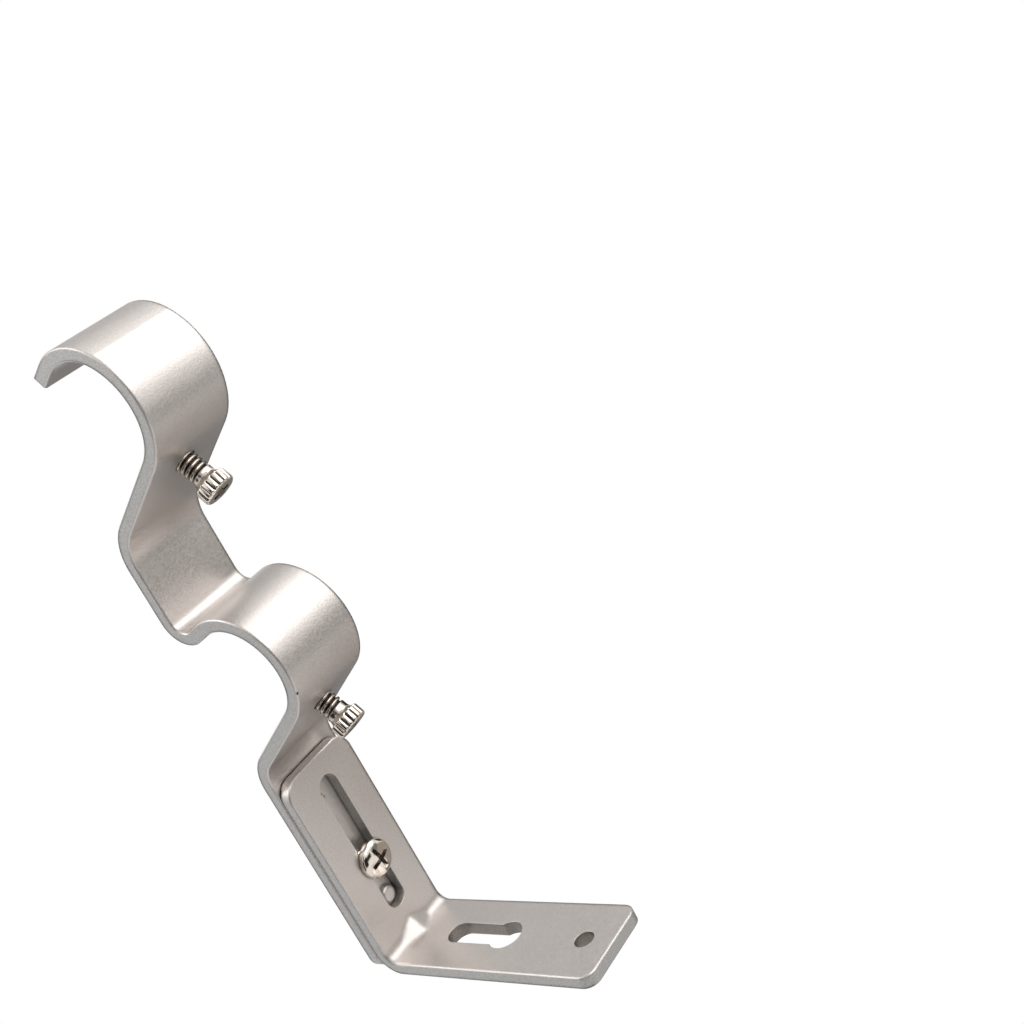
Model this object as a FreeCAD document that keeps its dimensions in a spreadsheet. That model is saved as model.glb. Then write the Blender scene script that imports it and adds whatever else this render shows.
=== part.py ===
import FreeCAD, Part
import math
import os
import Sketcher
from FreeCAD import Placement, Rotation, Vector

# Adjustable bracket for two curtain poles, one in front of the other.
# A folded strip (wall_bracket) screws to the wall. A second folded strip (rod_holder) lies on
# its arm, slides out along it and is clamped by a pan head screw from below. It is folded into
# two cradles, one for each pole, and a knurled thumb screw in the sloping wall of each cradle
# grips the pole.
#
# X runs along the poles, the wall is the plane Y = 0 with the bracket on its -Y side, and Z is
# up. The origin is the centre of the round fixing hole, on the wall face.

doc = FreeCAD.newDocument("CurtainPoleBracket")

# Driving dimensions, in millimetres and degrees
SIZES = {
    # The strip that both folded pieces are cut from
    "strip_width": 20.0,
    "strip_thickness": 2.9,
    "edge_chamfer": 0.25,
    # Wall bracket: heights from the fixing hole, reaches from the wall
    "arm_height": 46.4,
    "arm_reach": 48.9,
    "plate_drop": 7.2,
    "corner_bend_radius": 2.4,
    "arm_corner_radius": 4.0,
    "plate_corner_radius": 3.0,
    "arm_slot_width": 5.2,
    "arm_slot_start": 10.2,
    "arm_slot_margin": 4.5,
    "keyhole_slot_width": 5.6,
    "keyhole_top": 36.2,
    "keyhole_round_diameter": 7.5,
    "keyhole_round_height": 20.6,
    "fixing_hole_diameter": 4.3,
    # Gusset pressed into the corner bend
    "gusset_arm_leg": 4.2,
    "gusset_wall_leg": 3.1,
    "gusset_half_width": 7.3,
    # Rod holder: drops from its underside, radii inside each bend. The rear pole's reach is
    # counted from the arm's outer end and the front pole's from the rear pole's.
    "holder_wall_gap": 0.5,
    "holder_corner_radius": 3.5,
    "hook_tip_corner_radius": 1.0,
    "rear_bend_radius": 6.4,
    "rear_slope": 57.2,
    "rear_rod_past_arm": 26.7,
    "rear_rod_drop": 11.1,
    "rear_cradle_radius": 10.5,
    "rear_cradle_wrap": 169.9,
    "rise_bend_radius": 2.8,
    "front_bend_radius": 8.3,
    "front_slope": 58.0,
    "front_rod_past_rear": 56.2,
    "front_rod_drop": 12.9,
    "front_cradle_radius": 11.8,
    "front_cradle_wrap": 105.0,
    "front_hook_radius": 10.5,
    "front_hook_wrap": 71.0,
    "front_lip_length": 4.5,
    # Locating nub pressed down into the arm slot
    "nub_end_clearance": 0.9,
    "nub_radius": 1.9,
    "nub_depth": 1.5,
    "nub_edge_radius": 0.7,
    "nub_dent_radius": 1.5,
    "nub_dent_depth": 1.8,
    # Clamp screw, from below through the arm slot into the rod holder
    "thread_clearance": 0.05,
    "clamp_reach": 22.7,
    "clamp_shank_radius": 2.0,
    "clamp_head_radius": 4.1,
    "clamp_head_rim": 1.2,
    "clamp_head_height": 2.6,
    "clamp_end_recess": 0.2,
    "clamp_cross_width": 0.9,
    "clamp_cross_length": 4.2,
    "clamp_cross_depth": 1.4,
    # Thumb screws, one shape used twice
    "thumb_shank_radius": 2.4,
    "thumb_shank_length": 8.0,
    "thumb_tip_chamfer": 0.4,
    "thumb_neck_radius": 2.9,
    "thumb_neck_length": 0.8,
    "thumb_head_radius": 3.5,
    "thumb_head_length": 2.9,
    "thumb_inner_chamfer": 0.3,
    "thumb_end_chamfer": 0.5,
    "thumb_dome_height": 0.3,
    "knurl_count": 24,
    "knurl_width": 0.36,
    "knurl_depth": 0.3,
    "thumb_cross_width": 0.7,
    "thumb_cross_length": 2.6,
    "thumb_cross_depth": 1.1,
    # Thumb screw places: along the slope from the cradle's tangent line, and head to strip
    "rear_screw_rise": 2.7,
    "rear_screw_standoff": 5.2,
    "front_screw_rise": 4.3,
    "front_screw_standoff": 6.0,
}

sheet = doc.addObject("Spreadsheet::Sheet", "Sizes")
for row, (alias, number) in enumerate(SIZES.items(), start=1):
    sheet.set(f"A{row}", alias)
    sheet.set(f"B{row}", str(number))
    sheet.setAlias(f"B{row}", alias)
doc.recompute()

# Formulas that more than one piece uses
ARM_TOP = "(Sizes.arm_height + Sizes.strip_thickness)"
STRIP_TOP = "(Sizes.arm_height + 2 * Sizes.strip_thickness)"
NUB_REACH = "(Sizes.arm_slot_start + Sizes.nub_end_clearance + Sizes.nub_radius)"
REAR_REACH = "(Sizes.arm_reach + Sizes.rear_rod_past_arm)"
ROD_REACH = {"rear": REAR_REACH, "front": f"({REAR_REACH} + Sizes.front_rod_past_rear)"}


def value(formula):
    """Number that a formula gives now: the first position of what it later drives."""
    answer = sheet.evalExpression(formula)
    return float(getattr(answer, "Value", answer))


def size(alias):
    return value("Sizes." + alias)


def polar(radius, degrees):
    angle = math.radians(degrees)
    return Vector(radius * math.cos(angle), radius * math.sin(angle), 0)


# Bodies, sketches and features


def new_body(label):
    body = doc.addObject("PartDesign::Body", label)
    body.Label = label
    return body


def new_sketch(body, name, plane):
    """A sketch of this body on the origin plane with that role."""
    sketch = body.newObject("Sketcher::SketchObject", name)
    support = [feature for feature in body.Origin.OriginFeatures if feature.Role == plane]
    sketch.AttachmentSupport = [(support[0], "")]
    sketch.MapMode = "FlatFace"
    return sketch


def shift_sketch(sketch, **formulas):
    """Bind the sketch's offset on its plane: x, y and z are formulas."""
    for direction, formula in formulas.items():
        sketch.setExpression(f"AttachmentOffset.Base.{direction}", formula)


def tilt_sketch(sketch, y, z, degrees):
    """Shift a sketch on the XY plane to y, z and turn it about X."""
    sketch.AttachmentOffset = Placement(Vector(0, 0, 0), Rotation(Vector(1, 0, 0), value(degrees)))
    shift_sketch(sketch, y=y, z=z)
    sketch.setExpression("AttachmentOffset.Rotation.Angle", degrees)


def constrain(sketch, *rules):
    for rule in rules:
        sketch.addConstraint(Sketcher.Constraint(*rule))


def dimension(sketch, name, kind, *where_and_formula):
    """Add a dimension and bind it: the last argument is its formula."""
    *where, formula = where_and_formula
    number = value(formula)
    if kind == "Angle":
        number = math.radians(number)
        formula = f"({formula}) * 1 deg"
    index = sketch.addConstraint(Sketcher.Constraint(kind, *where, number))
    sketch.renameConstraint(index, name)
    sketch.setExpression(f"Constraints.{name}", formula)


def add_line(sketch, start, stop):
    return sketch.addGeometry(Part.LineSegment(start, stop), False)


def add_arc(sketch, centre, radius, start, stop):
    """Arc from start to stop degrees, counter-clockwise."""
    circle = Part.Circle(centre, Vector(0, 0, 1), radius)
    arc = Part.ArcOfCircle(circle, math.radians(start), math.radians(stop))
    return sketch.addGeometry(arc, False)


def pin(sketch, name, geometry, point, x, y):
    """Tie a point to the formulas of its place; "0" puts it on the axis, None leaves it free."""
    for letter, formula, axis in (("x", x, -2), ("y", y, -1)):
        if formula == "0":
            constrain(sketch, ("PointOnObject", geometry, point, axis))
        elif formula is not None:
            kind = "Distance" + letter.upper()
            dimension(sketch, f"{name}_{letter}", kind, -1, 1, geometry, point, formula)


def add_circle(sketch, name, x, y, diameter):
    centre = Vector(value(x), value(y), 0)
    circle = sketch.addGeometry(Part.Circle(centre, Vector(0, 0, 1), value(diameter) / 2), False)
    pin(sketch, name, circle, 3, x, y)
    dimension(sketch, name + "_diameter", "Diameter", circle, diameter)


def add_polygon(sketch, points):
    """Closed line polygon; its corners are tied together but carry no dimensions yet."""
    lines = []
    for here, there in zip(points, points[1:] + points[:1]):
        lines.append(add_line(sketch, here, there))
    for here, there in zip(lines, lines[1:] + lines[:1]):
        constrain(sketch, ("Coincident", here, 2, there, 1))
    return lines


def pad(body, sketch, name, length):
    feature = body.newObject("PartDesign::Pad", name)
    feature.Profile = sketch
    feature.SideType = "Symmetric"
    feature.setExpression("Length", length)
    doc.recompute()
    return feature


def cut(body, sketch, name, depth=None, side="Symmetric", toward_normal=False):
    """Pocket through everything both ways, or to the depth that a formula gives."""
    before = body.Shape.Volume
    feature = body.newObject("PartDesign::Pocket", name)
    feature.Profile = sketch
    feature.SideType = side
    if depth is None:
        feature.Type = "ThroughAll"
    else:
        feature.Type = "Length"
        feature.setExpression("Length", depth)
        feature.Reversed = toward_normal
    doc.recompute()
    if not feature.Shape.Volume < before:
        raise RuntimeError(f"{name} cuts nothing")
    return feature


def revolve(body, sketch, name, kind="Revolution"):
    feature = body.newObject("PartDesign::" + kind, name)
    feature.Profile = sketch
    feature.ReferenceAxis = (sketch, ["V_Axis"])
    feature.Angle = 360
    doc.recompute()
    return feature


def repeat_round(body, feature, sketch, name, count, degrees):
    """Copies of a feature about its sketch's own normal axis."""
    pattern = body.newObject("PartDesign::PolarPattern", name)
    pattern.Originals = [feature]
    pattern.Axis = (sketch, ["N_Axis"])
    pattern.Angle = degrees
    if isinstance(count, str):
        pattern.setExpression("Occurrences", count)
    else:
        pattern.Occurrences = count
    body.Tip = pattern
    doc.recompute()
    return pattern


def pick_edges(shape, wanted):
    """Names of the edges that the test picks."""
    edges = enumerate(shape.Edges, start=1)
    return [f"Edge{number}" for number, edge in edges if wanted(edge)]


def round_edges(body, name, radius, wanted):
    """Fillet the edges of the body's tip that the test picks."""
    base = body.Tip
    feature = body.newObject("PartDesign::Fillet", name)
    feature.Base = (base, pick_edges(base.Shape, wanted))
    feature.setExpression("Radius", radius)
    doc.recompute()


# The folded strip


def upright(edge, direction):
    """Whether an edge is a straight one along the direction."""
    if not isinstance(edge.Curve, Part.Line):
        return False
    return abs(edge.Curve.Direction.dot(direction)) > 0.999


def fold_outline(sketch, runs):
    """Side view of a folded strip, drawn from the runs of its face.

    A run is ("line", start, stop) or ("arc", centre, radius, start, stop) in degrees. The back
    of the strip lies one thickness to the left of the way the face runs and bends about the
    same centres. Returns the geometry numbers of the face's runs and of the back's, and those
    of the first and the last end.
    """
    thick = size("strip_thickness")

    def draw(offset):
        side = []
        for run in runs:
            if run[0] == "line":
                along = run[2] - run[1]
                left = Vector(-along.y, along.x, 0).normalize() * offset
                number = add_line(sketch, run[1] + left, run[2] + left)
                side.append((number, 1, 2))
                continue
            _, centre, radius, start, stop = run
            if stop > start:
                number = add_arc(sketch, centre, radius - offset, start, stop)
                side.append((number, 1, 2))
            else:
                number = add_arc(sketch, centre, radius + offset, stop, start)
                side.append((number, 2, 1))
        for here, there in zip(side, side[1:]):
            constrain(sketch, ("Tangent", here[0], here[2], there[0], there[1]))
        return side

    def corner(place, side):
        number, first, last = side
        geometry = sketch.Geometry[number]
        pick = first if place == "start" else last
        return geometry.StartPoint if pick == 1 else geometry.EndPoint

    face = draw(0)
    back = draw(thick)
    for run, front_side, back_side in zip(runs, face, back):
        if run[0] == "line":
            constrain(sketch, ("Parallel", front_side[0], back_side[0]))
        else:
            constrain(sketch, ("Coincident", front_side[0], 3, back_side[0], 3))
    first = add_line(sketch, corner("start", face[0]), corner("start", back[0]))
    last = add_line(sketch, corner("stop", face[-1]), corner("stop", back[-1]))
    constrain(
        sketch,
        ("Coincident", first, 1, face[0][0], face[0][1]),
        ("Coincident", first, 2, back[0][0], back[0][1]),
        ("Coincident", last, 1, face[-1][0], face[-1][2]),
        ("Coincident", last, 2, back[-1][0], back[-1][2]),
        ("Perpendicular", first, face[0][0]),
    )
    if runs[-1][0] == "line":
        constrain(sketch, ("Perpendicular", last, face[-1][0]))
    else:
        constrain(sketch, ("PointOnObject", face[-1][0], 3, last))
    dimension(sketch, "thickness", "Distance", first, "Sizes.strip_thickness")
    return [side[0] for side in face], [side[0] for side in back], first, last


def soften_strip_rim(body, ends):
    """Break the sheared rim of a strip on both of its faces.

    The rim is the two long sides, the rounded corners and the ends whose middle points are
    given; an edge belongs to it where one of those meets the strip's face or back.
    """
    base = body.Tip
    shape = base.Shape
    half = size("strip_width") / 2

    def is_rim(face):
        middle = face.CenterOfGravity
        if any((middle - end).Length < size("strip_thickness") / 2 for end in ends):
            return True
        return abs(middle.x) > half / 2 and is_sheared(face)

    def is_sheared(face):
        u_low, u_high, v_low, v_high = face.ParameterRange
        normal = face.normalAt((u_low + u_high) / 2, (v_low + v_high) / 2)
        return abs(normal.x) > 0.1

    rim = [is_rim(face) for face in shape.Faces]

    def on_rim(edge):
        sides = [flag for face, flag in zip(shape.Faces, rim) if has_edge(face, edge)]
        return sorted(sides) == [False, True]

    def has_edge(face, edge):
        return any(edge.isSame(other) for other in face.Edges)

    feature = body.newObject("PartDesign::Chamfer", "SoftRim")
    feature.Base = (base, pick_edges(shape, on_rim))
    feature.setExpression("Size", "Sizes.edge_chamfer")
    doc.recompute()


def obround(sketch, name, width, low, high):
    """Upright slot on the sketch's vertical axis, from low to high, with round ends."""
    half = value(width) / 2
    bottom = Vector(0, value(low) + half, 0)
    top = Vector(0, value(high) - half, 0)
    side = Vector(half, 0, 0)
    right = add_line(sketch, bottom + side, top + side)
    over = add_arc(sketch, top, half, 0, 180)
    left = add_line(sketch, top - side, bottom - side)
    under = add_arc(sketch, bottom, half, 180, 360)
    constrain(
        sketch,
        ("Tangent", right, 2, over, 1),
        ("Tangent", over, 2, left, 1),
        ("Tangent", left, 2, under, 1),
        ("Tangent", under, 2, right, 1),
        ("Vertical", right),
        ("PointOnObject", over, 3, -2),
        ("PointOnObject", under, 3, -2),
    )
    dimension(sketch, name + "_radius", "Radius", over, f"{width} / 2")
    dimension(sketch, name + "_high", "DistanceY", -1, 1, over, 3, f"{high} - {width} / 2")
    dimension(sketch, name + "_low", "DistanceY", -1, 1, under, 3, f"{low} + {width} / 2")


# Wall bracket


def wall_bracket():
    body = new_body("wall_bracket")
    half = size("strip_width") / 2
    thick = size("strip_thickness")
    bend = size("corner_bend_radius") + thick
    top = value(STRIP_TOP) - thick
    knee = Vector(-bend, top - bend, 0)

    profile = new_sketch(body, "BracketProfile", "YZ_Plane")
    runs = [
        ("line", Vector(0, -size("plate_drop"), 0), Vector(0, knee.y, 0)),
        ("arc", knee, bend, 0, 90),
        ("line", Vector(knee.x, top, 0), Vector(-size("arm_reach"), top, 0)),
    ]
    face, back, foot, nose = fold_outline(profile, runs)
    constrain(
        profile,
        ("Vertical", face[0]),
        ("Horizontal", face[2]),
        ("PointOnObject", face[0], 1, -2),
    )
    dimension(profile, "plate_end", "DistanceY", foot, 1, -1, 1, "Sizes.plate_drop")
    dimension(profile, "arm_end", "DistanceX", nose, 1, -1, 1, "Sizes.arm_reach")
    dimension(profile, "arm_underside", "DistanceY", -1, 1, back[2], 2, "Sizes.arm_height")
    dimension(profile, "inside_bend", "Radius", back[1], "Sizes.corner_bend_radius")
    pad(body, profile, "BracketStrip", "Sizes.strip_width")

    slot = new_sketch(body, "ArmSlot", "XY_Plane")
    slot_end = "(Sizes.arm_slot_margin - Sizes.arm_reach)"
    obround(slot, "slot", "Sizes.arm_slot_width", slot_end, "-Sizes.arm_slot_start")
    cut(body, slot, "ArmSlotCut")

    keyhole = new_sketch(body, "Keyhole", "XZ_Plane")
    slot_low = "Sizes.keyhole_round_height - Sizes.keyhole_slot_width / 2"
    obround(keyhole, "neck", "Sizes.keyhole_slot_width", f"({slot_low})", "Sizes.keyhole_top")
    cut(body, keyhole, "KeyholeNeckCut")
    holes = new_sketch(body, "KeyholeRound", "XZ_Plane")
    add_circle(
        holes, "keyhole", "0", "Sizes.keyhole_round_height", "Sizes.keyhole_round_diameter"
    )
    add_circle(holes, "fixing", "0", "0", "Sizes.fixing_hole_diameter")
    cut(body, holes, "RoundHolesCut")

    thin = Vector(0, 1, 0)
    low = -size("plate_drop")
    outer = -size("arm_reach")

    def at_plate_corner(edge):
        middle = edge.CenterOfGravity
        return upright(edge, thin) and abs(abs(middle.x) - half) < 0.01 and abs(middle.z - low) < 0.01

    def at_arm_corner(edge):
        middle = edge.CenterOfGravity
        tall = upright(edge, Vector(0, 0, 1))
        return tall and abs(abs(middle.x) - half) < 0.01 and abs(middle.y - outer) < 0.01

    round_edges(body, "PlateCorners", "Sizes.plate_corner_radius", at_plate_corner)
    round_edges(body, "ArmCorners", "Sizes.arm_corner_radius", at_arm_corner)
    plate_end = Vector(0, -thick / 2, low)
    arm_end = Vector(0, outer, top - thick / 2)
    soften_strip_rim(body, [plate_end, arm_end])
    press_gusset(body)
    return body


def press_gusset(body):
    """Ridge across the inside of the corner, and the dent that the press leaves outside.

    Both are V sections on the plane square to the ridge's crest, which runs from the arm leg's
    end down to the wall leg's end.
    """
    arm_leg = "Sizes.gusset_arm_leg"
    wall_leg = "Sizes.gusset_wall_leg"
    crest = f"sqrt({arm_leg}^2 + {wall_leg}^2)"
    depth = f"({arm_leg} * {wall_leg} / {crest})"
    lean = f"atan2({arm_leg}; {wall_leg}) / 1 deg"
    low = f"Sizes.arm_height - {wall_leg} / 2"
    inside = f"-Sizes.strip_thickness - {arm_leg} / 2"

    ridge = new_sketch(body, "GussetRidge", "XY_Plane")
    tilt_sketch(ridge, inside, low, lean)
    wide = size("gusset_half_width")
    deep = value(depth)
    sides = add_polygon(ridge, [Vector(0, 0, 0), Vector(wide, deep, 0), Vector(-wide, deep, 0)])
    constrain(
        ridge,
        ("Coincident", sides[0], 1, -1, 1),
        ("Horizontal", sides[1]),
        ("Equal", sides[0], sides[2]),
    )
    dimension(ridge, "depth", "DistanceY", -1, 1, sides[0], 2, depth)
    dimension(ridge, "half_width", "DistanceX", -1, 1, sides[0], 2, "Sizes.gusset_half_width")
    pad(body, ridge, "GussetRidgePad", crest)

    # The dent's sides are parallel to the ridge's, one strip thickness further out
    dent = new_sketch(body, "GussetDent", "XY_Plane")
    tilt_sketch(dent, inside, low, lean)
    floor = size("strip_thickness")
    far = floor + 2 * deep
    corners = [Vector(0, floor, 0), Vector(2 * wide, far, 0), Vector(-2 * wide, far, 0)]
    sides = add_polygon(dent, corners)
    constrain(
        dent,
        ("PointOnObject", sides[0], 1, -2),
        ("Horizontal", sides[1]),
        ("Equal", sides[0], sides[2]),
    )
    half_width = "2 * Sizes.gusset_half_width"
    dimension(dent, "floor", "DistanceY", -1, 1, sides[0], 1, "Sizes.strip_thickness")
    dimension(dent, "depth", "DistanceY", sides[0], 1, sides[0], 2, f"2 * {depth}")
    dimension(dent, "half_width", "DistanceX", -1, 1, sides[0], 2, half_width)
    cut(body, dent, "GussetDentCut")


# Rod holder


class Cradle:
    """Places along one sloping wall: bend, cradle centre and tangent points."""

    def __init__(self, name):
        thick = size("strip_thickness")
        face = value(STRIP_TOP)
        self.slope = size(name + "_slope")
        self.radius = size(name + "_cradle_radius")
        self.bend = size(name + "_bend_radius") + thick
        drop = size(name + "_rod_drop")
        self.centre = Vector(-value(ROD_REACH[name]), face - thick - drop, 0)
        out = polar(1, self.slope - 90)
        knee_height = face - self.bend
        rise = (knee_height - self.centre.y) * out.y
        across = (self.radius + self.bend - rise) / out.x
        self.knee = Vector(self.centre.x + across, knee_height, 0)
        self.slope_start = self.knee - out * self.bend
        self.slope_stop = self.centre + out * self.radius


def rod_holder():
    body = new_body("rod_holder")
    half = size("strip_width") / 2
    thick = size("strip_thickness")
    face_height = value(STRIP_TOP)
    rear = Cradle("rear")
    front = Cradle("front")

    # Rise from the rear cradle back to the strip's own level
    leave = rear.slope - 90 - size("rear_cradle_wrap")
    rise_start = rear.centre + polar(rear.radius, leave)
    rise_bend = size("rise_bend_radius") + thick
    beyond = rear.centre + polar(rear.radius + rise_bend, leave)
    climb = polar(1, leave - 90)
    run = (face_height - rise_bend - beyond.y) / climb.y
    rise_knee = beyond + climb * run
    rise_stop = rise_start + climb * run

    # The hook's arc follows the front cradle's, tangent to it
    turn = front.slope - 90 - size("front_cradle_wrap")
    hook = size("front_hook_radius")
    hook_centre = front.centre + polar(front.radius - hook, turn)
    hook_stop = turn - size("front_hook_wrap")
    lip_start = hook_centre + polar(hook, hook_stop)
    lip_stop = lip_start + polar(size("front_lip_length"), hook_stop - 90)

    profile = new_sketch(body, "HolderProfile", "YZ_Plane")
    start = Vector(-size("holder_wall_gap"), face_height, 0)
    runs = [
        ("line", start, Vector(rear.knee.x, face_height, 0)),
        ("arc", rear.knee, rear.bend, 90, 90 + rear.slope),
        ("line", rear.slope_start, rear.slope_stop),
        ("arc", rear.centre, rear.radius, rear.slope - 90, leave),
        ("line", rise_start, rise_stop),
        ("arc", rise_knee, rise_bend, leave + 180, 90),
        ("line", Vector(rise_knee.x, face_height, 0), Vector(front.knee.x, face_height, 0)),
        ("arc", front.knee, front.bend, 90, 90 + front.slope),
        ("line", front.slope_start, front.slope_stop),
        ("arc", front.centre, front.radius, front.slope - 90, turn),
        ("arc", hook_centre, hook, turn, hook_stop),
        ("line", lip_start, lip_stop),
    ]
    face, back, wall_end, tip = fold_outline(profile, runs)
    constrain(
        profile,
        ("Horizontal", face[0]),
        ("Horizontal", face[6]),
        ("Horizontal", back[0], 2, back[6], 1),
    )
    dimension(profile, "underside", "DistanceY", -1, 1, back[0], 1, ARM_TOP)
    dimension(profile, "wall_gap", "DistanceX", wall_end, 1, -1, 1, "Sizes.holder_wall_gap")
    for name, number in (("rear", 1), ("front", 7)):
        dimension(profile, name + "_bend", "Radius", back[number], f"Sizes.{name}_bend_radius")
        cradle = face[number + 2]
        centre = f"{ARM_TOP} - Sizes.{name}_rod_drop"
        dimension(profile, name + "_cradle", "Radius", cradle, f"Sizes.{name}_cradle_radius")
        dimension(profile, name + "_reach", "DistanceX", cradle, 3, -1, 1, ROD_REACH[name])
        dimension(profile, name + "_height", "DistanceY", -1, 1, cradle, 3, centre)
        dimension(profile, name + "_wrap", "Angle", cradle, f"Sizes.{name}_cradle_wrap")
        slope = face[number + 1]
        dimension(profile, name + "_slope", "Angle", slope, f"Sizes.{name}_slope - 180")
    dimension(profile, "rise_bend", "Radius", back[5], "Sizes.rise_bend_radius")
    dimension(profile, "hook", "Radius", face[10], "Sizes.front_hook_radius")
    dimension(profile, "hook_wrap", "Angle", face[10], "Sizes.front_hook_wrap")
    dimension(profile, "lip", "Distance", face[11], "Sizes.front_lip_length")
    pad(body, profile, "HolderStrip", "Sizes.strip_width")

    clamp = new_sketch(body, "ClampHole", "XY_Plane")
    clamp_hole = "2 * (Sizes.clamp_shank_radius + Sizes.thread_clearance)"
    add_circle(clamp, "clamp", "0", "-Sizes.clamp_reach", clamp_hole)
    cut(body, clamp, "ClampHoleCut")
    for name in ("rear", "front"):
        place = screw_place(name, "Sizes.strip_thickness / 2")
        thumb = new_sketch(body, name.title() + "ThumbHole", "XY_Plane")
        tilt_sketch(thumb, *place, f"Sizes.{name}_slope")
        thumb_hole = "2 * (Sizes.thumb_shank_radius + Sizes.thread_clearance)"
        add_circle(thumb, name, "0", "0", thumb_hole)
        depth = "2 * Sizes.strip_thickness"
        cut(body, thumb, name.title() + "ThumbHoleCut", depth)

    tip_edge = profile.Geometry[tip]
    tip_middle = (tip_edge.StartPoint + tip_edge.EndPoint) * 0.5
    tip_middle = Vector(0, tip_middle.x, tip_middle.y)
    wall_middle = Vector(0, start.x, face_height - thick / 2)

    def near(edge, middle):
        place = edge.CenterOfGravity
        aside = abs(abs(place.x) - half) < 0.01
        return aside and (Vector(0, place.y, place.z) - middle).Length < 0.01

    round_edges(
        body,
        "WallEndCorners",
        "Sizes.holder_corner_radius",
        lambda edge: near(edge, wall_middle),
    )
    round_edges(
        body,
        "HookTipCorners",
        "Sizes.hook_tip_corner_radius",
        lambda edge: near(edge, tip_middle),
    )
    soften_strip_rim(body, [wall_middle, tip_middle])
    press_nub(body)
    return body


def press_nub(body):
    """Round nub under the strip, and the dent that the punch leaves above it."""
    nub_y = f"-{NUB_REACH}"
    overlap = "Sizes.strip_thickness / 2"
    edge = "Sizes.nub_edge_radius"
    nub = new_sketch(body, "Nub", "YZ_Plane")
    shift_sketch(nub, x=nub_y, y=f"{ARM_TOP} + {overlap}")
    pressed_section(nub, "Sizes.nub_radius", f"(Sizes.nub_depth + {overlap})", edge)
    revolve(body, nub, "NubPress")
    dent = new_sketch(body, "NubDent", "YZ_Plane")
    shift_sketch(dent, x=nub_y, y=STRIP_TOP)
    pressed_section(dent, "Sizes.nub_dent_radius", "Sizes.nub_dent_depth", edge)
    revolve(body, dent, "NubDentCut", kind="Groove")


def pressed_section(sketch, radius, depth, edge):
    """Half section of a round punch below the sketch's origin, its lower edge rounded."""
    wide = value(radius)
    deep = value(depth)
    soft = value(edge)
    top = add_line(sketch, Vector(0, 0, 0), Vector(wide, 0, 0))
    side = add_line(sketch, Vector(wide, 0, 0), Vector(wide, soft - deep, 0))
    corner = add_arc(sketch, Vector(wide - soft, soft - deep, 0), soft, 270, 360)
    floor = add_line(sketch, Vector(wide - soft, -deep, 0), Vector(0, -deep, 0))
    middle = add_line(sketch, Vector(0, -deep, 0), Vector(0, 0, 0))
    constrain(
        sketch,
        ("Coincident", top, 1, -1, 1),
        ("Coincident", top, 2, side, 1),
        ("Tangent", side, 2, corner, 2),
        ("Tangent", corner, 1, floor, 1),
        ("Coincident", floor, 2, middle, 1),
        ("Coincident", middle, 2, top, 1),
        ("Horizontal", top),
        ("Vertical", side),
        ("Horizontal", floor),
        ("Vertical", middle),
    )
    dimension(sketch, "radius", "DistanceX", top, 1, top, 2, radius)
    dimension(sketch, "depth", "DistanceY", middle, 1, middle, 2, depth)
    dimension(sketch, "edge", "Radius", corner, edge)


# Screws


def screw_place(name, out):
    """Formulas for y and z on a thumb screw's axis, out from the cradle's inner wall line."""
    slope = f"Sizes.{name}_slope"
    away = f"(Sizes.{name}_cradle_radius + {out})"
    rise = f"Sizes.{name}_screw_rise"
    y = f"-{ROD_REACH[name]} + {away} * sin({slope}) + {rise} * cos({slope})"
    drop = f"{ARM_TOP} - Sizes.{name}_rod_drop"
    z = f"{drop} - {away} * cos({slope}) + {rise} * sin({slope})"
    return y, z


def turned_section(body, name, points, arcs):
    """Half section of a turned piece on the XZ plane: x is the radius, y the height.

    points are pairs of formulas round the section, from the axis to the axis. arcs gives for
    the number of a side the formulas of its centre; the other sides are straight.
    """
    sketch = new_sketch(body, name, "XZ_Plane")
    places = [Vector(value(x), value(y), 0) for x, y in points]
    sides = []
    for number, (here, there) in enumerate(zip(places, places[1:] + places[:1])):
        if number not in arcs:
            sides.append(add_line(sketch, here, there))
            continue
        x, y = arcs[number]
        centre = Vector(value(x), value(y), 0)
        spoke = here - centre
        other = there - centre
        start = math.degrees(math.atan2(spoke.y, spoke.x))
        stop = math.degrees(math.atan2(other.y, other.x))
        sides.append(add_arc(sketch, centre, spoke.Length, start, stop))
    for here, there in zip(sides, sides[1:] + sides[:1]):
        constrain(sketch, ("Coincident", here, 2, there, 1))
    for number, (x, y) in enumerate(points):
        pin(sketch, f"corner{number}", sides[number], 1, x, y)
    for number, (x, _) in arcs.items():
        pin(sketch, f"centre{number}", sides[number], 3, x, None)
    return sketch


def cross_recess(body, prefix, height, toward_normal):
    """Cross cut into the end of a screw head whose top is at that height."""
    arm = new_sketch(body, "CrossArm", "XY_Plane")
    shift_sketch(arm, z=height)
    half_width = size(prefix + "_cross_width") / 2
    half_length = size(prefix + "_cross_length") / 2
    corners = [
        Vector(-half_length, -half_width, 0),
        Vector(half_length, -half_width, 0),
        Vector(half_length, half_width, 0),
        Vector(-half_length, half_width, 0),
    ]
    sides = add_polygon(arm, corners)
    constrain(
        arm,
        ("Horizontal", sides[0]),
        ("Vertical", sides[1]),
        ("Horizontal", sides[2]),
        ("Vertical", sides[3]),
        ("Symmetric", sides[0], 1, sides[2], 1, -1, 1),
    )
    dimension(arm, "length", "Distance", sides[0], f"Sizes.{prefix}_cross_length")
    dimension(arm, "width", "Distance", sides[1], f"Sizes.{prefix}_cross_width")
    depth = f"Sizes.{prefix}_cross_depth"
    first = cut(body, arm, "CrossArmCut", depth, "One side", toward_normal)
    repeat_round(body, first, arm, "Cross", 2, 90)


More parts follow.
